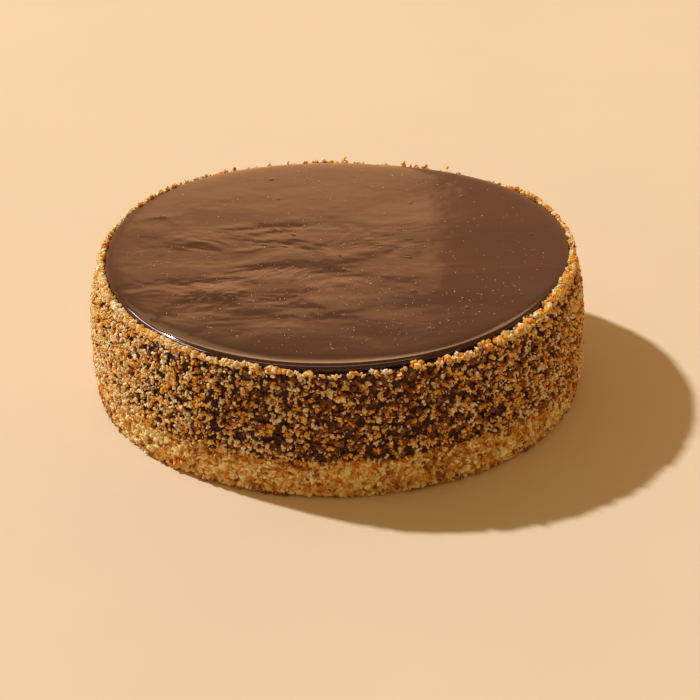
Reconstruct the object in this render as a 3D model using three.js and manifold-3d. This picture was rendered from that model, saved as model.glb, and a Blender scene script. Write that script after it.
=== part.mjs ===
// A round, uncut tres leches cake. A pale soaked sponge lies under a tall chocolate layer,
// a poured chocolate glaze rolls over the top edge, and toasted crumbs are pressed all
// round the side. Millimetres, +Z up. The origin is the middle of the flat underside.

import * as THREE from 'three';
import { mergeVertices } from 'three/addons/utils/BufferGeometryUtils.js';
import Module from 'manifold-3d';

const wasm = await Module();
wasm.setup();

// Overall sizes
const CAKE_RADIUS = 100; // out to the tips of the crumbs, at half height
const SPONGE_HEIGHT = 16; // mean height of the seam between the two layers
const LAYER_TOP = 52; // top of the chocolate layer, where the glaze lies
const GLAZE_TOP = 56;
const GLAZE_RADIUS = 93.7; // mean radius of the glaze's outer edge

// Coat of crumbs: one bump at each point of a staggered grid round the side
const BUMP_HEIGHT = 0.75; // how far a bump or a dent goes from the mean
const BULGE = 1.4; // how much wider the side is at half height than at its ends
const BUMPS_ROUND = 192;
const SPONGE_ROWS = 6; // steps up the sponge, an even number
const LAYER_ROWS = 12; // steps up the chocolate layer, an even number
const FOOT_TUCK = 1.2; // how far the lowest ring of crumbs is tucked in

// The top of the coat is a rough ring round the glaze
const RING_HEIGHT = 53; // mean height
const RING_ROUGHNESS = 0.6;
const RING_SLOPE = 2.2; // how much lower it is where it meets the side
const RING_INSET = 1.1; // how far the ring's top lies in from the side
const LEAST_RING = 2.8; // width of the ring where the glaze comes closest to the side
const GLAZE_GAP = 0.4; // open gap round the glaze's edge

// The largest crumbs are fused to the coat
const RING_CRUMBS = 72;
const SIDE_CRUMBS = 20;
const SMALLEST_CRUMB = 1.3; // radius
const LARGEST_CRUMB = 2; // radius
const CRUMB_ROUGHNESS = 0.2; // share by which a crumb's corners move in or out
const CRUMB_SINK = 0.2; // share of its radius by which a ring crumb lies below the surface
const CRUMB_WANDER = 0.4; // how far a ring crumb strays from even spacing, in spacings
const SIDE_CRUMB_MARGIN = 4.5; // least height between a side crumb and the layer's ends

// Glaze
const GLAZE_ROUNDING = 3.7; // radius of its rolled edge
const ROUNDING_STEPS = 4;
const GLAZE_STEPS_ROUND = 96;

// Nothing on a hand-made cake is quite round or level. Each list holds how often the wave
// comes in one turn, how many millimetres it swings and where it starts, in degrees.
const GLAZE_LOBES = [[2, 0.5, 27], [3, 2.2, 67], [4, 0.8, 142]];
const SEAM_WAVES = [[2, 0.7, 200], [5, 0.5, 35], [11, 0.4, 110]];
const RING_WAVES = [[1, 1.1, 270], [3, 0.35, 20], [7, 0.4, 250], [13, 0.3, 80]];

const SEED = 20461;

// A source of even random numbers from 0 to 1 that gives the same ones each time
function seededRandom(seed) {
  let state = seed;
  return () => {
    state = (state + 0x6d2b79f5) >>> 0;
    let mixed = Math.imul(state ^ (state >>> 15), state | 1);
    mixed ^= mixed + Math.imul(mixed ^ (mixed >>> 7), mixed | 61);
    return ((mixed ^ (mixed >>> 14)) >>> 0) / 2 ** 32;
  };
}

const random = seededRandom(SEED);
const between = (low, high) => THREE.MathUtils.lerp(low, high, random());
const give = (size) => between(-size, size);

function swing(waves, angle) {
  return waves.reduce((sum, [count, depth, start]) => (
    sum + depth * Math.cos(count * angle - THREE.MathUtils.degToRad(start))
  ), 0);
}

const glazeEdge = (angle) => GLAZE_RADIUS + swing(GLAZE_LOBES, angle);
const seamHeight = (angle) => SPONGE_HEIGHT + swing(SEAM_WAVES, angle);
const ringHeight = (angle) => RING_HEIGHT + swing(RING_WAVES, angle);

// Mean radius of the side: a slight barrel
function sideRadius(height) {
  const barrel = Math.sin((Math.PI * height) / GLAZE_TOP) - 1;
  return CAKE_RADIUS - BUMP_HEIGHT + BULGE * barrel;
}

// Radius of the highest line of the ring round the glaze
function crestRadius(angle) {
  return Math.max(sideRadius(RING_HEIGHT) - RING_INSET, glazeEdge(angle) + LEAST_RING / 2);
}

const onCake = (angle, radius, height) => (
  new THREE.Vector3(radius * Math.cos(angle), radius * Math.sin(angle), height)
);

// A ring of points round the axis, at(angle) giving the radius and height of each. Odd rows
// are turned by half a step, so that the bumps of one row lie between those of the next.
function ring(count, row, at) {
  const shift = (row % 2) / 2;
  return Array.from({ length: count }, (_, index) => {
    const angle = ((index + shift) / count) * 2 * Math.PI;
    return onCake(angle, ...at(angle));
  });
}

// A closed skin through rings of equal length from the lowest up, the first one an even
// row, with a middle point below and one above to close its ends
function skin(rings, lowMiddle, highMiddle) {
  const count = rings[0].length;
  const points = [...rings.flat(), lowMiddle, highMiddle];
  const low = points.length - 2;
  const high = points.length - 1;
  const faces = [];
  for (let index = 0; index < count; index += 1) {
    const next = (index + 1) % count;
    rings.slice(1).forEach((_, row) => {
      const [a, b, c, d] = [index, next, index + count, next + count].map((i) => i + row * count);
      if (row % 2 === 0) faces.push(a, b, c, b, d, c);
      else faces.push(a, b, d, a, d, c);
    });
    const top = (rings.length - 1) * count;
    faces.push(low, next, index);
    faces.push(high, top + index, top + next);
  }
  const geometry = new THREE.BufferGeometry().setFromPoints(points);
  geometry.setIndex(faces);
  return geometry;
}

// The geometry with nothing but its points, each of them shared by all its faces
function bareCopy(geometry) {
  const bare = geometry.clone();
  bare.deleteAttribute('normal');
  bare.deleteAttribute('uv');
  return mergeVertices(bare);
}

function solidOf(geometry) {
  const { attributes, index } = bareCopy(geometry);
  return new wasm.Manifold(new wasm.Mesh({
    numProp: 3,
    vertProperties: Float32Array.from(attributes.position.array),
    triVerts: Uint32Array.from(index.array),
  }));
}

function geometryOf(solid) {
  const { vertProperties, triVerts } = solid.getMesh();
  const geometry = new THREE.BufferGeometry();
  geometry.setAttribute('position', new THREE.BufferAttribute(vertProperties, 3));
  geometry.setIndex(new THREE.BufferAttribute(triVerts, 1));
  return geometry;
}

// One row of the bumpy side, the given share of the way from one height up to another
function coatRow(row, share, fromHeight, toHeight) {
  return ring(BUMPS_ROUND, row, (angle) => {
    const height = THREE.MathUtils.lerp(fromHeight(angle), toHeight(angle), share);
    return [sideRadius(height) + give(BUMP_HEIGHT), height];
  });
}

// The ring along the seam belongs to both layers, which meet without a gap
const underside = () => 0;
const seamRow = coatRow(SPONGE_ROWS, 1, underside, seamHeight);
const seamMiddle = onCake(0, 0, SPONGE_HEIGHT);

// Pale sponge soaked in milk
function spongeGeometry() {
  const foot = ring(BUMPS_ROUND, 0, () => [sideRadius(0) - FOOT_TUCK + give(BUMP_HEIGHT / 2), 0]);
  const rows = [foot];
  for (let row = 1; row < SPONGE_ROWS; row += 1) {
    rows.push(coatRow(row, row / SPONGE_ROWS, underside, seamHeight));
  }
  return skin([...rows, seamRow], onCake(0, 0, 0), seamMiddle);
}

// Chocolate layer without its large crumbs: up the side, over the rough ring round the
// glaze and down into the shallow seat that the glaze fills
function layerGeometry() {
  const shoulder = (angle) => ringHeight(angle) - RING_SLOPE;
  const rows = [seamRow];
  for (let row = 1; row <= LAYER_ROWS; row += 1) {
    rows.push(coatRow(row, row / LAYER_ROWS, seamHeight, shoulder));
  }
  const crest = ring(BUMPS_ROUND, LAYER_ROWS + 1, (angle) => (
    [crestRadius(angle), ringHeight(angle) + give(RING_ROUGHNESS)]
  ));
  const lip = ring(BUMPS_ROUND, LAYER_ROWS + 2, (angle) => (
    [glazeEdge(angle) + GLAZE_GAP, ringHeight(angle) - RING_ROUGHNESS + give(RING_ROUGHNESS)]
  ));
  const seat = ring(BUMPS_ROUND, LAYER_ROWS + 3, (angle) => (
    [glazeEdge(angle) + GLAZE_GAP / 2, LAYER_TOP]
  ));
  return skin([...rows, crest, lip, seat], seamMiddle, onCake(0, 0, LAYER_TOP));
}

// An uneven lump with twenty faces
function crumbSolid(size, middle) {
  const lump = bareCopy(new THREE.IcosahedronGeometry(size));
  const corners = lump.attributes.position;
  const corner = new THREE.Vector3();
  for (let index = 0; index < corners.count; index += 1) {
    corner.fromBufferAttribute(corners, index).multiplyScalar(1 + give(CRUMB_ROUGHNESS));
    corners.setXYZ(index, corner.x, corner.y, corner.z);
  }
  const turn = new THREE.Euler(between(0, Math.PI), between(0, Math.PI), between(0, Math.PI));
  lump.applyMatrix4(new THREE.Matrix4().makeRotationFromEuler(turn).setPosition(middle));
  return solidOf(lump);
}

// Crumbs that stand on the ring round the glaze, evenly round it and clear of the glaze
function ringCrumbs() {
  const reach = 1 + CRUMB_ROUGHNESS;
  return Array.from({ length: RING_CRUMBS }, (_, index) => {
    const angle = ((index + give(CRUMB_WANDER)) / RING_CRUMBS) * 2 * Math.PI;
    const inner = glazeEdge(angle) + GLAZE_GAP;
    const room = (crestRadius(angle) - inner) / reach;
    const size = Math.min(between(SMALLEST_CRUMB, LARGEST_CRUMB), room);
    const radius = between(inner + size * reach, crestRadius(angle));
    const height = ringHeight(angle) - size * CRUMB_SINK;
    return crumbSolid(size, onCake(angle, radius, height));
  });
}

// Crumbs that stand out of the side of the chocolate layer, spread evenly by stepping
// round it by the golden angle
function sideCrumbs() {
  const goldenAngle = Math.PI * (3 - Math.sqrt(5));
  const reach = 1 + CRUMB_ROUGHNESS;
  const lowest = SPONGE_HEIGHT + SIDE_CRUMB_MARGIN;
  const highest = RING_HEIGHT - SIDE_CRUMB_MARGIN;
  return Array.from({ length: SIDE_CRUMBS }, (_, index) => {
    const angle = index * goldenAngle;
    const size = between(SMALLEST_CRUMB, LARGEST_CRUMB);
    const height = THREE.MathUtils.lerp(lowest, highest, index / (SIDE_CRUMBS - 1));
    const radius = sideRadius(height) + BUMP_HEIGHT - size * reach;
    return crumbSolid(size, onCake(angle, radius, height));
  });
}

function layerWithCrumbs() {
  const crumbs = [...ringCrumbs(), ...sideCrumbs()];
  const layer = solidOf(layerGeometry());
  return geometryOf(crumbs.reduce((solid, crumb) => solid.add(crumb), layer));
}

// Poured glaze: a thin disc whose upper edge rolls over in a quarter round
function glazeGeometry() {
  const rowAt = (row, inset, height) => (
    ring(GLAZE_STEPS_ROUND, row, (angle) => [glazeEdge(angle) - inset, height])
  );
  const rows = [rowAt(0, 0, LAYER_TOP)];
  for (let step = 0; step <= ROUNDING_STEPS; step += 1) {
    const turn = ((step / ROUNDING_STEPS) * Math.PI) / 2;
    const inset = GLAZE_ROUNDING * (1 - Math.cos(turn));
    rows.push(rowAt(step + 1, inset, GLAZE_TOP - GLAZE_ROUNDING * (1 - Math.sin(turn))));
  }
  return skin(rows, onCake(0, 0, LAYER_TOP), onCake(0, 0, GLAZE_TOP));
}

// A named mesh with its own plain material
function cakePart(name, geometry, color, roughness) {
  const material = new THREE.MeshStandardMaterial({ color, roughness, flatShading: true });
  const mesh = new THREE.Mesh(geometry, material);
  mesh.name = name;
  return mesh;
}

const cake = new THREE.Group();
cake.add(
  cakePart('sponge_base', spongeGeometry(), '#d9a95a', 0.85),
  cakePart('chocolate_layer', layerWithCrumbs(), '#9c6a35', 0.8),
  cakePart('glaze', glazeGeometry(), '#5a3524', 0.25),
);

export default cake;
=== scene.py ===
"""Looks of a round, uncut tres leches cake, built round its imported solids.

Metres, +Z up, with the middle of the flat underside at the origin. Every surface is
worked out with numpy from two parameters: the angle round the cake, and how far a point
lies along a profile. Run it as a script in Blender 4.5.
"""

import math

import bpy
import numpy as np
from bpy.props import FloatProperty, FloatVectorProperty, IntProperty, PointerProperty
from mathutils import Matrix, Vector


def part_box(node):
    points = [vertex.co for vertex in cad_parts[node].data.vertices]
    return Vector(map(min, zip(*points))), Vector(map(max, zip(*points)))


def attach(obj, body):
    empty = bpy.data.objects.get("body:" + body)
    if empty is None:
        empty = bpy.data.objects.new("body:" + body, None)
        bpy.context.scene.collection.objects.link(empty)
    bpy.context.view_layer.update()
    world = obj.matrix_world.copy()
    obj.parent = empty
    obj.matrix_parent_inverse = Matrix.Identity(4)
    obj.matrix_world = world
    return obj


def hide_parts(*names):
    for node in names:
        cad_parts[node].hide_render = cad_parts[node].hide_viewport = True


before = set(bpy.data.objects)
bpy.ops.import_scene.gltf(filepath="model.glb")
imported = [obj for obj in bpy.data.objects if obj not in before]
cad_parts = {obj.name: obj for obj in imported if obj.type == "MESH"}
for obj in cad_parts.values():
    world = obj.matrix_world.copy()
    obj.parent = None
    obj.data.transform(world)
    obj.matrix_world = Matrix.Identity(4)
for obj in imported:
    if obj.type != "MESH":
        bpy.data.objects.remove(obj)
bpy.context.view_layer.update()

bl_info = {
    "name": "Tres leches cake",
    "version": (1, 0, 0),
    "blender": (4, 5, 0),
    "location": "3D View > Sidebar > Cake",
    "description": "Builds a glazed round cake with a coat of toasted crumbs",
    "category": "Add Mesh",
}

MM = 0.001

LAYER_LOW, LAYER_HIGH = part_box("chocolate_layer")
GLAZE_LOW, GLAZE_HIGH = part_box("glaze")
SPONGE_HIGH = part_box("sponge_base")[1]

# Nothing on a hand-made cake is quite round or level. Each list holds how often the wave
# comes in one turn, how far it swings and where it starts, in degrees. The solids have
# the same waves.
GLAZE_LOBES = [(2, 0.5 * MM, 27), (3, 2.2 * MM, 67), (4, 0.8 * MM, 142)]
SEAM_WAVES = [(2, 0.7 * MM, 200), (5, 0.5 * MM, 35), (11, 0.4 * MM, 110)]
RING_WAVES = [(1, 1.1 * MM, 270), (3, 0.35 * MM, 20), (7, 0.4 * MM, 250), (13, 0.3 * MM, 80)]
BARREL = 1.4 * MM  # how much wider the side is at half height than at its ends

# Where the cake differs a little from its solids
GLAZE_SHIFT = 0.5 * MM  # how much further left the glaze lies
TUCKS = (  # where the side is tucked in under the ring, and how far round that spreads
    (math.pi, 0.9),
    (math.radians(-15), 0.7),
)
TUCK_FADE = 6 * MM  # how far below the ring the tuck fades
FOOT_FADE = 2 * MM  # how far above the floor the foot's tuck fades

FULL_TURN = 2 * math.pi
FRONT = -math.pi / 2  # the angle of the side nearest to the camera
STEPS_ROUND = 720  # grid steps in one turn
PATCH_RADIUS = 100 * MM  # where the size of a patch on the side is measured
UNDERSIDE = 0.02 * MM  # height of the lowest crumbs' undersides
CRUMB_ROUGHNESS = 0.4  # share by which a crumb's corners move in or out
CRUMB_STRETCH = (0.58, 1.2)  # least and most, along each of its axes
UNEVEN_STEP = (0.7, 1.3)  # shortest and longest in a clump, as shares of its mean step

CHOCOLATE_SPOTS = 3.0  # how many times brighter the chocolate's lighter spots are
FLOOR_SHADE = 0.97  # share of its light that the floor keeps in its darker patches
TOASTING = (0.72, 0.58, 0.42)  # shares of red, green and blue that toasting leaves


# ---------------------------------------------------------------- sizes and colours


def length(name, description, default):
    """A property that holds a length in metres."""
    return FloatProperty(
        name=name, description=description, default=default,
        unit="LENGTH", subtype="DISTANCE", precision=5,
    )


def colour(name, description, default):
    """A property that holds a linear colour."""
    return FloatVectorProperty(
        name=name, description=description, default=default,
        subtype="COLOR", size=3, min=0, max=1,
    )


class CakeSizes(bpy.types.PropertyGroup):
    """Sizes that the pieces share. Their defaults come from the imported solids."""

    radius: length(
        "Radius", "Out to the tips of the crumbs, at half height", LAYER_HIGH.x,
    )
    sponge_height: length(
        "Sponge height", "Mean height of the seam between the layers",
        (SPONGE_HIGH.z + LAYER_LOW.z) / 2,
    )
    seat_height: length("Seat height", "Underside of the glaze", GLAZE_LOW.z)
    top_height: length("Top height", "Top of the glaze", GLAZE_HIGH.z)
    ring_height: length(
        "Ring height", "Mean height of the crumbs round the glaze", GLAZE_HIGH.z - 3 * MM,
    )
    glaze_radius: length("Glaze radius", "Mean radius of the glaze's edge", 93.7 * MM)
    glaze_rounding: length("Glaze rounding", "Radius of the glaze's rolled edge", 2.4 * MM)
    glaze_droop: length("Glaze droop", "How far inside its edge the top starts to fall", 2.2 * MM)
    coat_depth: length("Coat depth", "From the tips of the crumbs in to the chocolate", 2.0 * MM)
    side_heap: length(
        "Side heap", "How much more lies on the ring at the left and right", 2.2 * MM,
    )
    foot_tuck: length("Foot tuck", "How far the lowest crumbs are tucked in", 1.2 * MM)
    shoulder_tuck: length(
        "Shoulder tuck", "How far the highest are tucked in at the left and right", 3.0 * MM,
    )


class GlazeLook(bpy.types.PropertyGroup):
    """The poured glaze."""

    ripple_height: length("Ripple height", "Swing of the widest spreading marks", 0.52 * MM)
    ripple_spacing: length("Ripple spacing", "From one of the widest marks to the next", 24 * MM)
    pimples: IntProperty(name="Pimples", description="Blisters in the glaze", default=18)
    pimple_radius: length("Pimple radius", "Radius of a blister", 0.6 * MM)
    pimple_height: length("Pimple height", "Height of a blister", 0.22 * MM)
    specks: IntProperty(name="Specks", description="Fine crumbs fallen on the glaze", default=900)
    speck_radius: length("Speck radius", "Radius of the largest speck", 0.26 * MM)
    brown: colour("Glaze", "Milk chocolate glaze", (0.046, 0.0119, 0.0066))
    # Dark glaze: painted shade, darker streaky patches that stand in for the ripples reflecting
    # darker surroundings.
    dark: colour("Dark glaze", "Where the glaze lies thicker", (0.037, 0.0098, 0.0057))
    speck: colour("Speck", "Fine crumbs and froth on the glaze", (0.80, 0.60, 0.45))
    dim_speck: colour("Dim speck", "The darkest of them", (0.50, 0.34, 0.24))
    roughness: FloatProperty(
        name="Roughness", description="Of the glaze's surface", default=0.06,
        min=0, max=1, subtype="FACTOR",
    )


class CrumbLook(bpy.types.PropertyGroup):
    """The toasted crumbs of the coat."""

    clump_spacing: length("Clump spacing", "Distance between the clumps of crumbs", 2.3 * MM)
    smallest: length("Smallest", "Radius of the smallest crumb of the side", 0.42 * MM)
    largest: length("Largest", "Radius of the largest crumb of the side", 1.15 * MM)
    ring_largest: length("Largest at the top", "Radius of the largest crumb of the ring", 1.4 * MM)
    seed: IntProperty(name="Seed", description="Another number strews them anew", default=20461)
    cream: colour("Cream", "Untoasted crumbs", (0.98, 0.84, 0.58))
    gold: colour("Gold", "Lightly toasted crumbs", (0.93, 0.62, 0.18))
    amber: colour("Amber", "Toasted crumbs", (0.90, 0.415, 0.026))
    brown: colour("Brown", "Darkly toasted crumbs", (0.27, 0.095, 0.014))
    # Under: painted shade, a dark colour for the crumbs deep in the coat where little light
    # reaches.
    under: colour("Under", "Small dark crumbs under the others", (0.10, 0.033, 0.006))
    chocolate: colour("Chocolate", "Chocolate under the crumbs", (0.026, 0.0075, 0.002))


class SpongeLook(bpy.types.PropertyGroup):
    """The soaked sponge at the foot."""

    lump_spacing: length("Lump spacing", "Distance between the groups of lumps", 2.6 * MM)
    smallest: length("Smallest lump", "Radius of the smallest lump", 0.8 * MM)
    largest: length("Largest lump", "Radius of the largest lump", 2.3 * MM)
    pale: colour("Pale", "Soaked crumb", (1.0, 0.93, 0.50))
    deep: colour("Deep", "Stained crumb", (0.70, 0.30, 0.022))
    # Stain: partly the sponge's own stain, partly painted shade in the gaps behind the lumps.
    stain_and_gap_shade: colour("Stain", "Behind the lumps", (0.42, 0.15, 0.012))


class StudioLook(bpy.types.PropertyGroup):
    """Floor and light."""

    floor: colour("Floor", "Pale floor", (0.705, 0.577, 0.415))
    sky: colour("Surroundings", "Light from all round", (0.45, 0.30, 0.122))
    card: colour("Card", "Light from behind, on top of the surroundings", (0.55, 0.175, 0.105))
    panel: colour("Panel", "Brightest light of the panel behind, on top", (1, 0.495, 0.19))
    panel_strength: FloatProperty(
        name="Panel strength", description="Multiplies the panel's colour", default=1.3,
    )
    key: FloatProperty(name="Key light", description="Light on a card that faces it", default=3.33)
    key_away: length("Key distance", "From the cake to the main light", 12)
    key_size: length("Key size", "Radius of the main light", 0.3)


# ---------------------------------------------------------------- shape of the cake


def swing(waves, angle):
    """Sum of the waves' depth times the cosine of count times the angle less the start."""
    return sum(
        depth * np.cos(count * angle - math.radians(start)) for count, depth, start in waves
    )


def glaze_edge(sizes, angle):
    """Radius of the glaze's edge: its mean radius plus its lobes, shifted to the left."""
    return sizes.glaze_radius + swing(GLAZE_LOBES, angle) - GLAZE_SHIFT * np.cos(angle)


def seam_height(sizes, angle):
    """Height of the seam between sponge and chocolate: its mean plus its waves."""
    return sizes.sponge_height + swing(SEAM_WAVES, angle)


def ring_height(sizes, angle):
    """Height of the crumb ring round the glaze: its mean plus its waves."""
    return sizes.ring_height + swing(RING_WAVES, angle)


def ring_bed(sizes, angle):
    """Height of the chocolate under the ring's crumbs, with a heap at the left and right."""
    heap = sizes.side_heap * np.cos(angle) ** 2
    return ring_height(sizes, angle) - sizes.coat_depth + heap


def side_radius(sizes, height, angle):
    """Radius at the crumbs' tips: a barrel, widest at half height, by half a sine wave.

    At the left and right it is tucked in towards the ring, as an exponential of height.
    """
    barrel = sizes.radius + BARREL * (np.sin(np.pi * height / sizes.top_height) - 1)
    below_ring = np.minimum(height - sizes.ring_height, 0)
    tuck = sizes.shoulder_tuck * sum(toward(angle, middle, spread) for middle, spread in TUCKS)
    return barrel - tuck * np.exp(below_ring / TUCK_FADE)


def foot_inset(sizes, height):
    """How far the side is tucked in near the floor: it fades as an exponential of height."""
    return sizes.foot_tuck * np.exp(-height / FOOT_FADE)


def blend(elsewhere, there, weight):
    """The one value where the weight is nought, the other where it is one."""
    return elsewhere * (1 - weight) + there * weight


def smooth_noise(rng, across, up, columns):
    """Smooth random field from -1 to 1 that repeats after that many columns.

    Random values stand at whole numbers of both parameters. Between them the value is
    blended, with weights that follow a smooth step.
    """
    up = up - up.min()
    lattice = rng.uniform(-1, 1, (int(up.max()) + 2, columns))
    column, row = np.floor(across).astype(int), np.floor(up).astype(int)
    u, v = across - column, up - row
    u, v = u * u * (3 - 2 * u), v * v * (3 - 2 * v)
    left, right = column % columns, (column + 1) % columns
    low = blend(lattice[row, left], lattice[row, right], u)
    high = blend(lattice[row + 1, left], lattice[row + 1, right], u)
    return blend(low, high, v)


def angles_round():
    """Evenly spaced angles of one turn, in one row."""
    return np.linspace(0, FULL_TURN, STEPS_ROUND, endpoint=False)[None, :]


def patches(rng, angle, height, spacing):
    """Smooth random field from -1 to 1 on the side, closed round it.

    The spacing is the size of a patch.
    """
    columns = round(FULL_TURN * PATCH_RADIUS / spacing)
    across = (angle / FULL_TURN) % 1.0 * columns
    return smooth_noise(rng, across, height / spacing, columns)


def toward(angle, centre, spread):
    """Bell curve round the cake: one at the centre angle, fading over the spread."""
    turn = (angle - centre + np.pi) % FULL_TURN - np.pi
    return np.exp(-((turn / spread) ** 2))


def on_cake(radius, angle, height):
    """Points at a radius, an angle and a height: x and y are radius times cosine and sine."""
    return np.stack([radius * np.cos(angle), radius * np.sin(angle), height], axis=-1)


def mesh_of(name, points, faces_by_size, smooth):
    """A mesh from an array of points and arrays of faces, one array for each face size."""
    mesh = bpy.data.meshes.new(name)
    corners = np.concatenate([faces.ravel() for faces in faces_by_size])
    sizes = np.concatenate([np.full(len(faces), faces.shape[1]) for faces in faces_by_size])
    mesh.vertices.add(len(points))
    mesh.vertices.foreach_set("co", points.astype(np.float32).ravel())
    mesh.loops.add(len(corners))
    mesh.loops.foreach_set("vertex_index", corners.astype(np.int32))
    mesh.polygons.add(len(sizes))
    starts = np.concatenate([[0], np.cumsum(sizes)[:-1]])
    mesh.polygons.foreach_set("loop_start", starts.astype(np.int32))
    mesh.polygons.foreach_set("use_smooth", np.full(len(sizes), smooth))
    mesh.update(calc_edges=True)
    if mesh.validate():
        raise ValueError(f"{name} has faces that don't hold together")
    return mesh


def closed_skin(name, radius, angle, height):
    """A closed surface through rings from the lowest inner one, up the outside, to the top.

    Rows of the arrays are rings and columns are angles. Neighbouring rings are joined by
    four-sided faces that wrap round, and a fan to a pole on the axis closes each end.
    """
    rows, columns = radius.shape
    points = on_cake(radius, angle, height).reshape(-1, 3)
    poles = [[0, 0, height[0].mean()], [0, 0, height[-1].mean()]]
    index = np.arange(rows * columns).reshape(rows, columns)
    beside = np.roll(index, -1, axis=1)
    quads = np.stack([index[:-1], beside[:-1], beside[1:], index[1:]], axis=-1).reshape(-1, 4)
    low, high = len(points), len(points) + 1
    low_fan = np.stack([np.full(columns, low), beside[0], index[0]], axis=-1)
    high_fan = np.stack([np.full(columns, high), index[-1], beside[-1]], axis=-1)
    fans = np.concatenate([low_fan, high_fan])
    return mesh_of(name, np.concatenate([points, poles]), [quads, fans], smooth=True)


def add_piece(name, mesh, material, slot, *nodes):
    """Shows the mesh as a piece of the cake, in place of the named solids."""
    piece = bpy.data.objects.new(name, mesh)
    bpy.context.scene.collection.objects.link(piece)
    mesh.materials.append(material)
    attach(piece, "root")
    if nodes:
        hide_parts(*nodes)


# ---------------------------------------------------------------- crumbs


def crumb_template():
    """A ball of twenty triangles: a pole, two rings of five corners and a pole.

    The rings lie at the latitudes whose tangent is a half, and the lower one is turned
    by half a step.
    """
    step = FULL_TURN / 5
    turn = np.arange(5) * step
    flat, rise = 2 / math.sqrt(5), 1 / math.sqrt(5)
    upper = np.stack([flat * np.cos(turn), flat * np.sin(turn), np.full(5, rise)], axis=-1)
    turn = turn + step / 2
    lower = np.stack([flat * np.cos(turn), flat * np.sin(turn), np.full(5, -rise)], axis=-1)
    corners = np.concatenate([[[0, 0, 1]], upper, lower, [[0, 0, -1]]])
    here = np.arange(5)
    beside = (here + 1) % 5
    top, bottom = np.zeros(5, int), np.full(5, 11)
    faces = np.concatenate([
        np.stack([top, here + 1, beside + 1], axis=-1),
        np.stack([here + 1, here + 6, beside + 1], axis=-1),
        np.stack([beside + 1, here + 6, beside + 6], axis=-1),
        np.stack([bottom, beside + 6, here + 6], axis=-1),
    ])
    return corners, faces


def random_turns(rng, count):
    """Rotation matrices spread evenly over all turns, from unit quaternions."""
    quaternions = rng.normal(size=(4, count))
    w, x, y, z = quaternions / np.linalg.norm(quaternions, axis=0)
    return np.stack([
        1 - 2 * (y * y + z * z), 2 * (x * y - z * w), 2 * (x * z + y * w),
        2 * (x * y + z * w), 1 - 2 * (x * x + z * z), 2 * (y * z - x * w),
        2 * (x * z - y * w), 2 * (y * z + x * w), 1 - 2 * (x * x + y * y),
    ], axis=-1).reshape(count, 3, 3)


def crumb_mesh(rng, name, centres, radii):
    """Crumbs joined in one mesh, each with its own evenly random tone from 0 to 1.

    A crumb is the ball of twenty triangles with every corner moved in or out, stretched
    along its own axes, turned at random, scaled to its radius and put at its centre. What
    would lie below the cake's underside is pressed flat.
    """
    corners, faces = crumb_template()
    count = len(centres)
    least, most = 1 - CRUMB_ROUGHNESS, 1 + CRUMB_ROUGHNESS
    lumps = corners * rng.uniform(least, most, (count, len(corners), 1))
    lumps = lumps * rng.uniform(*CRUMB_STRETCH, (count, 1, 3))
    lumps = np.einsum("nij,nkj->nki", random_turns(rng, count), lumps)
    points = centres[:, None] + lumps * radii[:, None, None]
    points[..., 2] = np.maximum(points[..., 2], UNDERSIDE)
    offsets = np.arange(count)[:, None, None] * len(corners)
    mesh = mesh_of(name, points.reshape(-1, 3), [(faces + offsets).reshape(-1, 3)], smooth=False)
    tone = mesh.attributes.new("tone", "FLOAT", "POINT")
    tone.data.foreach_set("value", np.repeat(rng.random(count), len(corners)).astype(np.float32))
    return mesh


def clump_grid(rng, low, high, spacing, around):
    """Middles of clumps: one at a random place in each cell of a grid on the side."""
    columns = round(FULL_TURN * around / spacing)
    rows = max(1, round((high - low) / spacing))
    column, row = np.meshgrid(np.arange(columns), np.arange(rows))
    angle = (column + rng.random(column.shape)) / columns * FULL_TURN
    height = low + (row + rng.random(row.shape)) / rows * (high - low)
    return angle.ravel(), height.ravel()


def curls(rng, count, members, step):
    """Short crooked rows of crumbs: steps in random directions, added up.

    Gives how far each member lies from the middle of its clump, along and across.
    """
    way = rng.random((count, members)) * FULL_TURN
    reach = step * rng.uniform(*UNEVEN_STEP, (count, members))
    path = np.cumsum(np.stack([reach * np.cos(way), reach * np.sin(way)]), axis=2)
    return path - path.mean(axis=2, keepdims=True)


def strewn(rng, angle, height, members, step, around):
    """Angles and heights of the crumbs of clumps on the side, one row for each clump."""
    along, up = curls(rng, len(angle), members, step)
    return angle[:, None] + along / around, height[:, None] + up


def crumb_radii(rng, shape, smallest, largest, power=1.0):
    """Random radii from the smallest to the largest. A higher power makes more of them small."""
    return smallest + (largest - smallest) * rng.random(shape) ** power


# ---------------------------------------------------------------- materials


def fill(tree, added, inputs):
    """Sets a node's inputs. One is linked where its value is another node's output."""
    for key, value in inputs.items():
        if isinstance(value, bpy.types.NodeSocket):
            tree.links.new(value, added.inputs[key])
        else:
            added.inputs[key].default_value = value


def node(tree, kind, inputs=None, **settings):
    """Adds a shader node with its settings and inputs."""
    added = tree.nodes.new(kind)
    for key, value in settings.items():
        setattr(added, key, value)
    fill(tree, added, inputs or {})
    return added


def calculated(tree, operation, first, second=0.0):
    """The outcome of one step of arithmetic."""
    return node(tree, "ShaderNodeMath", {0: first, 1: second}, operation=operation).outputs[0]


def mixed(tree, factor, first, second, **settings):
    """Two colours mixed by a factor."""
    return node(tree, "ShaderNodeMix", {
        "Factor": factor, "A": first, "B": second,
    }, data_type="RGBA", **settings).outputs["Result"]


def smooth_step(tree, value, start, end):
    """A smooth step: nought where the value is at the start, one where it is at the end."""
    return node(tree, "ShaderNodeMapRange", {
        "Value": value, "From Min": start, "From Max": end,
    }, interpolation_type="SMOOTHSTEP").outputs["Result"]


def bumps(tree, height, strength, distance):
    """Normals of a surface raised by a height from 0 to 1, times the distance."""
    return node(tree, "ShaderNodeBump", {
        "Height": height, "Strength": strength, "Distance": distance,
    }).outputs["Normal"]


def with_alpha(linear):
    """A colour as the four numbers that a colour socket takes."""
    return (*linear, 1.0)


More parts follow.
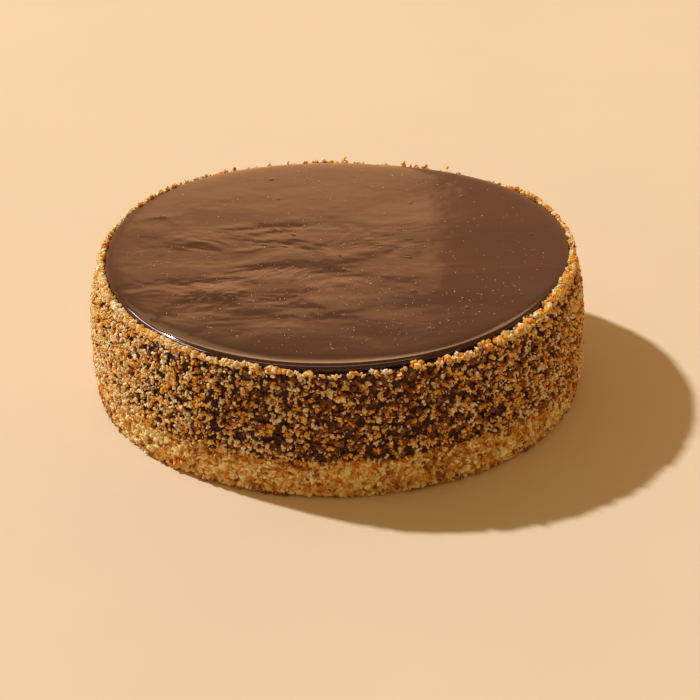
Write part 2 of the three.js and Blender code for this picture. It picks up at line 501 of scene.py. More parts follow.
def new_group(name, inputs, outputs):
    """A shader node group with the named sockets. Each is given as (name, kind, default)."""
    tree = bpy.data.node_groups.new(name, "ShaderNodeTree")
    for label, kind, default in inputs:
        socket = tree.interface.new_socket(label, in_out="INPUT", socket_type=kind)
        socket.default_value = default
    for label, kind in outputs:
        tree.interface.new_socket(label, in_out="OUTPUT", socket_type=kind)
    return tree, tree.nodes.new("NodeGroupInput"), tree.nodes.new("NodeGroupOutput")


def mottle_group():
    """Two colours in soft patches: a mask from noise, sharpened round its middle."""
    name = "Mottle"
    if name in bpy.data.node_groups:
        return bpy.data.node_groups[name]
    tree, given, made = new_group(
        name,
        [
            ("Vector", "NodeSocketVector", (0, 0, 0)),
            ("Light", "NodeSocketColor", (1, 1, 1, 1)),
            ("Dark", "NodeSocketColor", (0, 0, 0, 1)),
            ("Scale", "NodeSocketFloat", 100.0),
            ("Middle", "NodeSocketFloat", 0.5),
            ("Softness", "NodeSocketFloat", 0.1),
        ],
        [("Colour", "NodeSocketColor"), ("Mask", "NodeSocketFloat")],
    )
    noise = node(tree, "ShaderNodeTexNoise", {
        "Vector": given.outputs["Vector"], "Scale": given.outputs["Scale"],
        "Detail": 3.0, "Roughness": 0.55,
    })
    middle, softness = given.outputs["Middle"], given.outputs["Softness"]
    mask = smooth_step(
        tree, noise.outputs["Fac"],
        calculated(tree, "SUBTRACT", middle, softness), calculated(tree, "ADD", middle, softness),
    )
    colour = mixed(tree, mask, given.outputs["Dark"], given.outputs["Light"])
    fill(tree, made, {"Colour": colour, "Mask": mask})
    return tree


def new_material(name):
    """An empty material with a principled shader, its output and the object coordinates."""
    material = bpy.data.materials.new(name)
    material.use_nodes = True
    tree = material.node_tree
    shader = tree.nodes["Principled BSDF"]
    place = node(tree, "ShaderNodeTexCoord").outputs["Object"]
    return material, tree, shader, place


def mottle(tree, place, light, dark, scale, middle=0.5, softness=0.1):
    """The mottle group, placed in a material with its own values."""
    return node(tree, "ShaderNodeGroup", {
        "Vector": place, "Light": light, "Dark": dark,
        "Scale": scale, "Middle": middle, "Softness": softness,
    }, node_tree=mottle_group())


def glaze_material(look):
    """Poured milk chocolate: glossy, with fine dimples, streaked along X with darker, rougher
    patches that are painted shade for where the ripples reflect darker surroundings.
    """
    material, tree, shader, place = new_material("poured_glaze")
    painted_shade_streaks = node(tree, "ShaderNodeMapping", {"Vector": place, "Scale": (0.35, 1.0, 1.0)})
    # Darker, rougher patches along X: painted shade for darker reflections.
    tint = mottle(
        tree, painted_shade_streaks.outputs["Vector"], with_alpha(look.brown), with_alpha(look.dark),
        scale=38, middle=0.48, softness=0.2,
    )
    gloss = node(tree, "ShaderNodeMapRange", {
        "Value": tint.outputs["Mask"],
        "To Min": look.roughness * 1.5, "To Max": look.roughness,
    })
    dimples = node(tree, "ShaderNodeTexNoise", {
        "Vector": place, "Scale": 260.0, "Detail": 2.0,
    })
    fill(tree, shader, {
        "Base Color": tint.outputs["Colour"],
        "Roughness": gloss.outputs["Result"],
        "Normal": bumps(tree, dimples.outputs["Fac"], strength=0.35, distance=0.02 * MM),
        "IOR": 1.47,
    })
    return material


def chocolate_material(look):
    """Chocolate that shows between the crumbs: dark, uneven and a little glossy."""
    material, tree, shader, place = new_material("bare_chocolate")
    lighter = tuple(CHOCOLATE_SPOTS * part for part in look.chocolate)
    tint = mottle(
        tree, place, with_alpha(lighter), with_alpha(look.chocolate),
        scale=190, middle=0.56, softness=0.16,
    )
    fill(tree, shader, {
        "Base Color": tint.outputs["Colour"],
        "Normal": bumps(tree, tint.outputs["Mask"], strength=0.5, distance=0.2 * MM),
        "Roughness": 0.45,
        "Specular IOR Level": 0.25,
    })
    return material


def toasted(light):
    """The same colour after more toasting: darker, and darker still in green and blue."""
    return tuple(part * share for part, share in zip(light, TOASTING))


def crumb_material(name, light, dark, scale=900.0, roughness=0.55):
    """A crumb's own tone between two colours, with toasted spots."""
    material, tree, shader, place = new_material(name)
    tone = node(tree, "ShaderNodeAttribute", attribute_name="tone")
    own = mixed(tree, tone.outputs["Fac"], with_alpha(dark), with_alpha(light))
    spots = mottle(tree, place, own, with_alpha(dark), scale, middle=0.4, softness=0.12)
    fill(tree, shader, {
        "Base Color": spots.outputs["Colour"],
        "Normal": bumps(tree, spots.outputs["Mask"], strength=0.4, distance=0.1 * MM),
        "Roughness": roughness,
        "Specular IOR Level": 0.25,
        "Subsurface Weight": 0.5,
        "Subsurface Radius": (1.0, 0.85, 0.60),
        "Subsurface Scale": 1.2 * MM,
    })
    return material


def add_crumbs(rng, name, centres, radii, light):
    """Shows crumbs as one piece, each with a tone between the light colour and its toasted one."""
    mesh = crumb_mesh(rng, name, centres, radii)
    add_piece(name, mesh, crumb_material(name, light, toasted(light)), "crumb_coat")


def sponge_material(look):
    """Stained sponge that shows between its lumps: two deep yellows in soft patches, darker than
    the lumps, partly stain and partly painted shade in the gaps.
    """
    material, tree, shader, place = new_material("soaked_sponge")
    tint = mottle(
        tree, place, with_alpha(look.deep), with_alpha(look.stain_and_gap_shade),
        scale=330, middle=0.5, softness=0.14,
    )
    fill(tree, shader, {
        "Base Color": tint.outputs["Colour"],
        "Normal": bumps(tree, tint.outputs["Mask"], strength=0.6, distance=0.3 * MM),
        "Roughness": 0.6,
    })
    return material


def floor_material(look):
    """Smooth matte card, very slightly uneven."""
    material, tree, shader, place = new_material("pale_floor")
    shade = tuple(FLOOR_SHADE * part for part in look.floor)
    tint = mottle(
        tree, place, with_alpha(look.floor), with_alpha(shade), scale=9, softness=0.3,
    )
    fill(tree, shader, {
        "Base Color": tint.outputs["Colour"],
        "Roughness": 0.85,
        "Specular IOR Level": 0.15,
    })
    return material


# ---------------------------------------------------------------- pieces


class PourGlaze(bpy.types.Operator):
    """Pours the glaze: a rippled top that droops and rolls over its edge, down to its seat"""

    bl_idname = "cake.pour_glaze"
    bl_label = "Glaze"

    TOP_RINGS = 120
    ROLL_RINGS = 16
    SHOULDER = math.radians(12)  # slope of the top where the roll begins
    CENTRE_SHARE = 0.004  # radius of the innermost ring, as a share of the outermost
    CROWDING = 1.6  # how much closer the rings lie near the edge
    LAYERS = 5  # of ripples, each half as wide as the last
    FADE = 1.95  # how much lower each layer is than the last
    STRETCH = 1.7  # how much longer a ripple is than wide
    BENDS = (5 * MM, 4 * MM)  # how far the ripples are pushed about, along X and Y
    BEND_SPACING = (20 * MM, 14 * MM)
    PATCH_SPACING = (24 * MM, 13 * MM)  # of the patches in which the ripples are deep
    CALM = 0.08  # share of the ripples' height outside the restless part
    SWELL = 0.2  # share of it that the widest ripples have everywhere
    RESTLESS_MIDDLE = (-52 * MM, -12 * MM)
    RESTLESS_REACH = (70 * MM, 40 * MM)
    NOISE_COLUMNS = 100  # more than there are across the glaze, so that none comes twice
    EVEN_EDGE = 2  # how many radii of the roll inside the edge the relief is whole
    TIGHT = math.radians(-30)  # where the edge is rolled tightest
    TIGHT_SPREAD = 0.8
    TIGHTNESS = 0.45  # how much smaller the roll and the droop are there
    PIMPLE_REACH = 0.86  # share of the glaze's radius within which the pimples lie
    PIMPLE_SIZES = (0.6, 1.2)  # smallest and largest, as shares of their radius

    def noise(self, rng, x, y, spacing):
        """Smooth noise on the flat glaze, with a spacing along X and one along Y."""
        across = x / spacing[0] + self.NOISE_COLUMNS / 2
        return smooth_noise(rng, across, y / spacing[1], self.NOISE_COLUMNS)

    def ripples(self, rng, look, x, y):
        """Sum of layers of smooth noise stretched along X.

        The place at which the noise is read is itself pushed about by noise, so that the
        ripples bend and break off. Except for the widest, they are deepest in one part,
        a bell curve of the distance from its middle, and there in patches.
        """
        along = x + self.BENDS[0] * self.noise(rng, x, y, self.BEND_SPACING)
        across = y + self.BENDS[1] * self.noise(rng, x, y, self.BEND_SPACING)
        far = sum(
            ((place - middle) / reach) ** 2
            for place, middle, reach in zip((x, y), self.RESTLESS_MIDDLE, self.RESTLESS_REACH)
        )
        patchy = (1 + self.noise(rng, x, y, self.PATCH_SPACING)) ** 2 / 2
        restless = self.CALM + (1 - self.CALM) * np.exp(-far) * patchy
        relief = np.zeros_like(x)
        for layer in range(self.LAYERS):
            spacing = look.ripple_spacing / 2**layer
            wave = self.noise(rng, along, across, (spacing * self.STRETCH, spacing))
            relief += wave / self.FADE**layer * (self.SWELL if layer == 0 else restless)
        return look.ripple_height * relief

    def blisters(self, rng, look, sizes, x, y):
        """Sum of small bells, the height of each fading with the square of the distance."""
        relief = np.zeros_like(x)
        for _ in range(look.pimples):
            reach = sizes.glaze_radius * self.PIMPLE_REACH * math.sqrt(rng.random())
            turn = rng.random() * FULL_TURN
            size = look.pimple_radius * rng.uniform(*self.PIMPLE_SIZES)
            far = (x - reach * math.cos(turn)) ** 2 + (y - reach * math.sin(turn)) ** 2
            relief += look.pimple_height * size / look.pimple_radius * np.exp(-far / size**2)
        return relief

    def execute(self, context):
        sizes, look = context.scene.cake_sizes, context.scene.glaze_look
        rng = np.random.default_rng(context.scene.crumb_look.seed)
        angle = angles_round()
        edge = glaze_edge(sizes, angle)
        looseness = 1 - self.TIGHTNESS * toward(angle, self.TIGHT, self.TIGHT_SPREAD)
        roll, droop = sizes.glaze_rounding * looseness, sizes.glaze_droop * looseness
        drop = math.tan(self.SHOULDER) * droop
        tilt = np.linspace(0, math.pi / 2 - self.SHOULDER, self.ROLL_RINGS)[:, None]
        roll_radius = edge - roll * (1 - np.cos(tilt))
        roll_height = sizes.top_height - drop - roll * (math.cos(self.SHOULDER) - np.sin(tilt))
        flat = roll_radius[-1:]
        inward = np.linspace(0, 1, self.TOP_RINGS)[1:, None] ** self.CROWDING
        share = blend(1, self.CENTRE_SHARE, inward)
        top_height = sizes.top_height - drop * np.exp(-flat * (1 - share) / droop)
        seat = np.full_like(edge, sizes.seat_height)
        radius = np.concatenate([edge, roll_radius, flat * share])
        height = np.concatenate([seat, roll_height, top_height])
        angle = np.broadcast_to(angle, radius.shape)
        x, y = radius * np.cos(angle), radius * np.sin(angle)
        inside = np.clip((edge - radius) / (self.EVEN_EDGE * roll), 0, 1) ** 2
        height = height + inside * self.ripples(rng, look, x, y)
        height = height + inside * self.blisters(rng, look, sizes, x, y)
        mesh = closed_skin("glaze_top", radius, angle, height)
        add_piece("glaze_top", mesh, glaze_material(look), "chocolate_glaze", "glaze")
        return {"FINISHED"}


class BuildChocolateLayer(bpy.types.Operator):
    """Builds the chocolate under the crumbs: up the side and over the ring round the glaze"""

    bl_idname = "cake.build_chocolate_layer"
    bl_label = "Chocolate layer"

    SIDE_RINGS = 56
    TOP_RINGS = 12
    SHOULDER = 1.6 * MM  # how much lower the ring is where it meets the side
    RELIEF = 0.45 * MM
    RELIEF_SPACING = 2.4 * MM
    EVEN_RINGS = 3  # without relief, next to the glaze

    def execute(self, context):
        sizes, look = context.scene.cake_sizes, context.scene.crumb_look
        rng = np.random.default_rng(look.seed + 1)
        angle = angles_round()
        up = np.linspace(0, 1, self.SIDE_RINGS)[:, None]
        seam = seam_height(sizes, angle)
        crest = ring_bed(sizes, angle)
        side_height = seam + (crest - self.SHOULDER - seam) * up
        side = side_radius(sizes, side_height, angle) - sizes.coat_depth
        inward = np.linspace(0, 1, self.TOP_RINGS + 1)[1:, None]
        edge = glaze_edge(sizes, angle)
        top = blend(side[-1:], edge, inward)
        top_height = crest - self.SHOULDER * (1 - np.sin(inward * math.pi / 2))
        radius = np.concatenate([side, top, edge])
        height = np.concatenate([side_height, top_height, np.full_like(edge, sizes.seat_height)])
        angle = np.broadcast_to(angle, radius.shape)
        relief = self.RELIEF * patches(rng, angle, height, self.RELIEF_SPACING)
        relief[-self.EVEN_RINGS:] = 0
        relief[0] = 0
        on_side = np.arange(len(radius))[:, None] < self.SIDE_RINGS
        radius = radius + np.where(on_side, relief, 0)
        height = height + np.where(on_side, 0, relief)
        mesh = closed_skin("chocolate_side", radius, angle, height)
        add_piece(
            "chocolate_side", mesh, chocolate_material(look), "crumb_coat", "chocolate_layer",
        )
        return {"FINISHED"}


class BuildSpongeBase(bpy.types.Operator):
    """Builds the soaked sponge at the foot, with a lumpy side that is tucked in at the floor"""

    bl_idname = "cake.build_sponge_base"
    bl_label = "Soaked sponge"

    RINGS = 30
    RELIEF = 0.5 * MM
    RELIEF_SPACING = 2.6 * MM

    def execute(self, context):
        sizes, look = context.scene.cake_sizes, context.scene.sponge_look
        rng = np.random.default_rng(context.scene.crumb_look.seed + 2)
        angle = angles_round()
        height = seam_height(sizes, angle) * np.linspace(0, 1, self.RINGS)[:, None]
        angle = np.broadcast_to(angle, height.shape)
        radius = side_radius(sizes, height, angle) - sizes.coat_depth - foot_inset(sizes, height)
        relief = self.RELIEF * patches(rng, angle, height, self.RELIEF_SPACING)
        relief[-1] = 0
        mesh = closed_skin("sponge_side", radius + relief, angle, height)
        add_piece("sponge_side", mesh, sponge_material(look), "soaked_sponge", "sponge_base")
        return {"FINISHED"}


class PressOnCrumbs(bpy.types.Operator):
    """Presses toasted crumbs on the chocolate side and heaps the largest round the glaze"""

    bl_idname = "cake.press_on_crumbs"
    bl_label = "Crumb coat"

    # What the crumbs are like, with a share for each kind
    KINDS = ("cream", "gold", "amber", "brown")
    SHARES = np.array([0.29, 0.28, 0.23, 0.20])
    LEFT_SHARES = np.array([0.42, 0.32, 0.23, 0.03])
    FRONT_SHARES = np.array([0.14, 0.17, 0.17, 0.52])  # the darker crumbs lie in front
    LEFT = math.radians(195)
    SHARES_SPREAD = 0.9  # how far round from the left and the front their own shares hold
    # The ring's crumbs are nearly all of the paler kinds: partly their own colour, partly painted
    # light for crumbs that glow when lit from behind.
    RING_SHARES = np.array([0.28, 0.36, 0.33, 0.03])
    PALE_RING_SHARES = np.array([0.48, 0.27, 0.22, 0.03])
    PALE_RING = math.radians(222)  # where the ring is palest
    PALE_RING_SPREAD = 0.7
    RING_START = 2 * MM  # how far below the ring's height its shares begin
    OWN_KIND = 0.65  # share of crumbs of the same kind as their clump
    SMALLNESS = 1.6  # the higher it is, the more of the crumbs are small

    # How the crumbs of the side lie
    CLUMP = 5  # crumbs in a clump
    CLUMP_STEP = 1.05 * MM  # from one crumb to the next
    GRID_BELOW = 1.5 * MM  # how far below the seam's mean the clumps begin
    PAST_SEAM = 0.4 * MM  # how far below the seam itself one may lie
    PAST_RING = 1.6 * MM  # how far above the ring's bed a crumb may lie
    SINK = 0.9  # share of its radius by which a crumb's middle lies in from the tips
    DEPTH = 1.1 * MM  # how deep the crumbs lie among each other
    GAPS = 0.02  # share of clumps that is missing everywhere
    FRONT_GAPS = 0.2  # share of them that is missing in front
    FRONT_SPREAD = 0.75
    PATCH = 7 * MM  # size of the patches in which more are missing
    PATCH_START = 0.35  # value of the random field at which these begin
    PATCH_GAPS = 0.25

    # How the crumbs of the ring lie
    GLAZE_GAP = 0.3 * MM  # from the glaze's edge to the middle of the nearest crumb
    LIFT = 0.4  # share of its radius by which a crumb's middle lies above the ring's bed
    OVER_TOP = 1.5 * MM  # how far above the glaze a crumb may reach
    CORNER_REACH = 1.5  # how many radii from a crumb's middle its longest corner may lie
    BARE = math.radians(-82)  # where the ring is barest
    RING_CLUMPS = 520
    RING_CLUMP = 8
    RING_STEP = 1.1 * MM
    RING_WANDER = 0.45  # how far a clump strays from even spacing, in spacings
    RING_GAPS = 0.94  # share of clumps that is missing where the ring is barest
    RING_GAPS_SPREAD = 0.75
    RING_DEPTH = 0.9 * MM
    INWARDS = 1.4  # the higher it is, the more of the clumps lie near the glaze
    HEAPED = math.radians(135)  # where the most crumbs lie on the ring
    HEAPS = (  # the middle of each heap, how far it spreads, how much deeper the crumbs lie
        (HEAPED, 0.8, 2.1 * MM),
        (math.radians(28), 0.45, 1.9 * MM),
        (math.radians(-26), 0.5, 0.7 * MM),
    )
    PILES = 115
    PILE = 12  # crumbs in a pile
    PILE_STEP = 0.9 * MM
    PILE_WANDER = 0.35
    PILE_GAPS = 0.7
    PILE_GAPS_SPREAD = 1.0
    PILE_RADIUS = 3.2 * MM
    PILE_ACROSS = (0.4, 0.85)  # how far out on the ring they lie, as shares of its width
    PILE_LEAN = 1.3 * MM  # how much higher than the glaze they rise behind, or lower in front
    HEAPED_SPREAD = 0.7  # how far from the middle of the largest heap the piles are fuller
    # Powers of random shares, elsewhere and in that heap: the lower, the nearer to one
    PILE_POWERS = (1.2, 0.1)  # of a pile's share of its room
    FILL_POWERS = (0.6, 0.3)  # of a crumb's share of its pile's height

    # The small crumbs under the others, dark as painted shade deep in the coat
    UNDER_SPACING = 1.62 * MM
    UNDER_PAST_SEAM = 0.3 * MM
    UNDER_PAST_RING = 1 * MM
    UNDER_LARGEST = 0.8  # share of the largest crumb's radius
    UNDER_LIFT = 0.35  # share of its radius by which its middle lies out of the chocolate

    def gathered(self, angle, radius, height, size):
        """Centres, radii and clump numbers of all crumbs. Each row that is given is a clump."""
        clump = np.broadcast_to(np.arange(len(angle))[:, None], angle.shape)
        return on_cake(radius, angle, height).reshape(-1, 3), size.ravel(), clump.ravel()

    def side_crumbs(self, rng, sizes, look):
        """Centres, radii and clump numbers of the crumbs of the side.

        Each clump of the grid is a crooked row of crumbs. More clumps are missing in front,
        and where a smooth random field is high.
        """
        low = sizes.sponge_height - self.GRID_BELOW
        high = sizes.ring_height + sizes.side_heap
        angle, height = clump_grid(rng, low, high, look.clump_spacing, sizes.radius)
        field = patches(rng, angle, height, self.PATCH)
        bare = self.GAPS + self.FRONT_GAPS * toward(angle, FRONT, self.FRONT_SPREAD)
        bare = bare + self.PATCH_GAPS * np.clip(field - self.PATCH_START, 0, 1)
        stays = rng.random(len(angle)) > bare
        stays &= height > seam_height(sizes, angle) - self.PAST_SEAM
        angle, height = strewn(
            rng, angle[stays], height[stays], self.CLUMP, self.CLUMP_STEP, sizes.radius,
        )
        size = crumb_radii(rng, angle.shape, look.smallest, look.largest, self.SMALLNESS)
        deep = rng.random(angle.shape) * self.DEPTH
        radius = side_radius(sizes, height, angle) - size * self.SINK - deep
        kept = (height < ring_bed(sizes, angle) + self.PAST_RING).ravel()
        return tuple(part[kept] for part in self.gathered(angle, radius, height, size))

    def spaced_round(self, rng, count, wander, gaps, spread):
        """Angles evenly round the ring, that wander a little, with gaps where it is barest."""
        angle = (np.arange(count) + rng.uniform(-wander, wander, count)) / count * FULL_TURN
        return angle[rng.random(count) > gaps * toward(angle, self.BARE, spread)]

    def ring_place(self, sizes, angle, along, over, across, size):
        """Angle and radius of the ring's crumbs, that lie that share of its width outwards.

        A crumb that would lie on the glaze is put as far outside its edge instead.
        """
        angle = angle[:, None] + along / sizes.radius
        inner = glaze_edge(sizes, angle) + self.GLAZE_GAP
        outer = side_radius(sizes, sizes.ring_height, angle) - size * self.SINK
        from_glaze = np.abs((outer - inner) * across[:, None] + over)
        return angle, np.minimum(inner + from_glaze, outer)

    def below_limit(self, sizes, height, size):
        """The height, lowered where a crumb's longest corner might reach too far above."""
        return np.minimum(height, sizes.top_height + self.OVER_TOP - self.CORNER_REACH * size)

    def ring_crumbs(self, rng, sizes, look):
        """Centres, radii and clump numbers of the crumbs strewn round the glaze."""
        angle = self.spaced_round(
            rng, self.RING_CLUMPS, self.RING_WANDER, self.RING_GAPS, self.RING_GAPS_SPREAD,
        )
        along, over = curls(rng, len(angle), self.RING_CLUMP, self.RING_STEP)
        size = crumb_radii(rng, along.shape, look.smallest, look.ring_largest, self.SMALLNESS)
        across = rng.random(len(angle)) ** self.INWARDS
        angle, radius = self.ring_place(sizes, angle, along, over, across, size)
        depth = self.RING_DEPTH + sum(
            more * toward(angle, middle, spread) for middle, spread, more in self.HEAPS
        )
        height = ring_bed(sizes, angle) + size * self.LIFT + rng.random(angle.shape) * depth
        return self.gathered(angle, radius, self.below_limit(sizes, height, size), size)

    def piled_crumbs(self, rng, sizes, look):
        """Centres, radii and clump numbers of the crumbs in small piles on the ring.

        The room under a pile's cone is filled: a crumb's height is a random share of the
        cone's height over its place.
        """
        angle = self.spaced_round(
            rng, self.PILES, self.PILE_WANDER, self.PILE_GAPS, self.PILE_GAPS_SPREAD,
        )
        count = len(angle)
        heaped = toward(angle, self.HEAPED, self.HEAPED_SPREAD)[:, None]
        along, over = curls(rng, count, self.PILE, self.PILE_STEP)
        steepness = np.clip(1 - np.hypot(along, over) / self.PILE_RADIUS, 0, 1)
        across = rng.uniform(*self.PILE_ACROSS, count)
        size = crumb_radii(rng, along.shape, look.smallest, look.ring_largest)
        angle, radius = self.ring_place(sizes, angle, along, over, across, size)
        base = ring_bed(sizes, angle) + size * self.LIFT
        room = sizes.top_height + self.PILE_LEAN * np.sin(angle) - size - base
        share = rng.random((count, 1)) ** blend(*self.PILE_POWERS, heaped)
        tall = np.maximum(room, 0) * share * steepness
        height = base + tall * rng.random(angle.shape) ** blend(*self.FILL_POWERS, heaped)
        return self.gathered(angle, radius, self.below_limit(sizes, height, size), size)

    def under_crumbs(self, rng, sizes, look):
        """Centres and radii of the small crumbs that lie deepest, one in each cell. Their dark
        colour is painted shade.
        """
        angle, height = clump_grid(
            rng, sizes.sponge_height, sizes.ring_height, self.UNDER_SPACING, sizes.radius,
        )
        stays = height > seam_height(sizes, angle) - self.UNDER_PAST_SEAM
        stays &= height < ring_bed(sizes, angle) + self.UNDER_PAST_RING
        angle, height = angle[stays], height[stays]
        size = rng.uniform(look.smallest, look.largest * self.UNDER_LARGEST, len(angle))
        radius = side_radius(sizes, height, angle) - sizes.coat_depth + size * self.UNDER_LIFT
        return on_cake(radius, angle, height), size

    def kinds(self, rng, sizes, centres, clump):
        """A kind for each crumb: its clump's own, or now and then another.

        A kind is drawn where a random number falls among the added-up shares at the
        crumb's place round the cake.
        """
        angle = np.arctan2(centres[:, 1], centres[:, 0])
        front = toward(angle, FRONT, self.SHARES_SPREAD)[:, None]
        left = toward(angle, self.LEFT, self.SHARES_SPREAD)[:, None]
        pale = toward(angle, self.PALE_RING, self.PALE_RING_SPREAD)[:, None]
        shares = blend(blend(self.SHARES, self.FRONT_SHARES, front), self.LEFT_SHARES, left)
        # Paler kinds on the ring: partly their own colour, partly painted light.
        ring_shares = blend(self.RING_SHARES, self.PALE_RING_SHARES, pale)
        on_ring = centres[:, 2] > ring_height(sizes, angle) - self.RING_START
        shares = np.where(on_ring[:, None], ring_shares, shares)
        own = rng.random(clump.max() + 1)[clump]
        drawn = np.where(rng.random(len(clump)) < self.OWN_KIND, own, rng.random(len(clump)))
        kind = (drawn[:, None] > np.cumsum(shares, axis=1)).sum(axis=1)
        return np.minimum(kind, len(self.KINDS) - 1)

    def execute(self, context):
        sizes, look = context.scene.cake_sizes, context.scene.crumb_look
        rng = np.random.default_rng(look.seed + 3)
        found = [
            self.side_crumbs(rng, sizes, look),
            self.ring_crumbs(rng, sizes, look),
            self.piled_crumbs(rng, sizes, look),
        ]
        kinds = np.concatenate([
            self.kinds(rng, sizes, centre, clump) for centre, _, clump in found
        ])
        centres = np.concatenate([centre for centre, _, _ in found])
        radii = np.concatenate([size for _, size, _ in found])
        for number, kind in enumerate(self.KINDS):
            chosen = kinds == number
            add_crumbs(rng, f"crumbs_{kind}", centres[chosen], radii[chosen], getattr(look, kind))
        # The deepest crumbs get the under colour: painted shade.
        add_crumbs(rng, "crumbs_under", *self.under_crumbs(rng, sizes, look), look.under)
        return {"FINISHED"}


class RoughenSponge(bpy.types.Operator):
    """Covers the side of the sponge with its own soft lumps and a scatter of toasted crumbs"""

    bl_idname = "cake.roughen_sponge"
    bl_label = "Sponge crumbs"

    GROUP = 3  # lumps or crumbs in a group
    OVER_MEAN_SEAM = 1 * MM  # how far above the seam's mean the groups end

    LUMPS_START = 0.6 * MM  # height of the lowest groups
    LUMP_STEP = 1.3 * MM  # from one lump of a group to the next
    LUMP_PAST_SEAM = 0.3 * MM
    LUMP_SMALLNESS = 1.4
    LUMP_SINK = 1.15  # share of its radius by which a lump's middle lies in from the side
    LUMP_DEPTH = 0.9 * MM  # how much deeper some of them lie

    TOASTED_START = 0.5 * MM
    TOASTED_SPACING = 2.0 * MM
    TOASTED_STEP = 0.9 * MM
    TOASTED_SHARE = 0.40  # share of groups that stay because of the floor or the seam
    TOASTED_BETWEEN = 0.35  # how many stay everywhere, as a part of that share
    FLOOR_FADE = 2.5 * MM  # how far above the floor they get fewer
    SEAM_FADE = 3 * MM  # how far below the seam they get fewer
    PALE = math.radians(228)  # where the fewest of them lie
    PALE_SPREAD = 0.5
    PALE_GAPS = 0.6
    PATCH = 7 * MM  # size of the patches in which more or fewer of them lie
    PATCHINESS = 0.4
    TOASTED_SIZES = (0.9, 0.75)  # smallest and largest, as shares of the coat's
    TOASTED_SINK = 0.9
    TOASTED_DEPTH = 0.5 * MM
    DARK_SHARE = 0.34  # of the toasted crumbs
    DARK_AT_FLOOR = 0.5  # how much larger that share is at the floor
    DARK_FADE = 3 * MM

    def sunk(self, rng, sizes, angle, height, size, sink, depth):
        """Centres of what lies in from the sponge's side and doesn't reach below the floor."""
        height = np.maximum(height, size)
        radius = side_radius(sizes, height, angle) - foot_inset(sizes, height) - size * sink
        radius = radius - rng.random(len(angle)) * depth
        return on_cake(radius, angle, height)

    def lumps(self, rng, sizes, look):
        """Centres and radii of the soft lumps, a group in each cell of a grid on the side."""
        angle, height = clump_grid(
            rng, self.LUMPS_START, sizes.sponge_height + self.OVER_MEAN_SEAM,
            look.lump_spacing, sizes.radius,
        )
        angle, height = strewn(rng, angle, height, self.GROUP, self.LUMP_STEP, sizes.radius)
        stays = height < seam_height(sizes, angle) + self.LUMP_PAST_SEAM
        angle, height = angle[stays], height[stays]
        size = crumb_radii(rng, len(angle), look.smallest, look.largest, self.LUMP_SMALLNESS)
        centres = self.sunk(
            rng, sizes, angle, height, size, self.LUMP_SINK, self.LUMP_DEPTH,
        )
        return centres, size

    def stuck_crumbs(self, rng, sizes, crumbs):
        """Centres and radii of the toasted crumbs that stick to the sponge.

        Most of them lie near the floor and the seam, fading from both as an exponential.
        """
        angle, height = clump_grid(
            rng, self.TOASTED_START, sizes.sponge_height + self.OVER_MEAN_SEAM,
            self.TOASTED_SPACING, sizes.radius,
        )
        below_seam = seam_height(sizes, angle) - height
        edge = np.exp(-height / self.FLOOR_FADE) + np.exp(-below_seam / self.SEAM_FADE)
        pale = self.PALE_GAPS * toward(angle, self.PALE, self.PALE_SPREAD)
        wanted = self.TOASTED_SHARE * (self.TOASTED_BETWEEN + edge) * (1 - pale)
        wanted = wanted + self.PATCHINESS * patches(rng, angle, height, self.PATCH)
        stays = rng.random(len(angle)) < wanted
        angle, height = strewn(
            rng, angle[stays], height[stays], self.GROUP, self.TOASTED_STEP, sizes.radius,
        )
        angle, height = angle.ravel(), height.ravel()
        smallest, largest = self.TOASTED_SIZES
        size = rng.uniform(crumbs.smallest * smallest, crumbs.largest * largest, len(angle))
        centres = self.sunk(
            rng, sizes, angle, height, size, self.TOASTED_SINK, self.TOASTED_DEPTH,
        )
        return centres, size

    def execute(self, context):
        sizes = context.scene.cake_sizes
        look, crumbs = context.scene.sponge_look, context.scene.crumb_look
        rng = np.random.default_rng(crumbs.seed + 4)
        mesh = crumb_mesh(rng, "sponge_lumps", *self.lumps(rng, sizes, look))
        soft = crumb_material("sponge_crumb", look.pale, look.deep, scale=125.0, roughness=0.6)
        add_piece("sponge_lumps", mesh, soft, "soaked_sponge")
        centres, radii = self.stuck_crumbs(rng, sizes, crumbs)
        low = self.DARK_AT_FLOOR * np.exp(-centres[:, 2] / self.DARK_FADE)
        dark = rng.random(len(radii)) < self.DARK_SHARE + low
        amber, brown = toasted(crumbs.amber), crumbs.brown
        add_crumbs(rng, "sponge_crumbs_amber", centres[~dark], radii[~dark], amber)
        add_crumbs(rng, "sponge_crumbs_brown", centres[dark], radii[dark], brown)
        return {"FINISHED"}


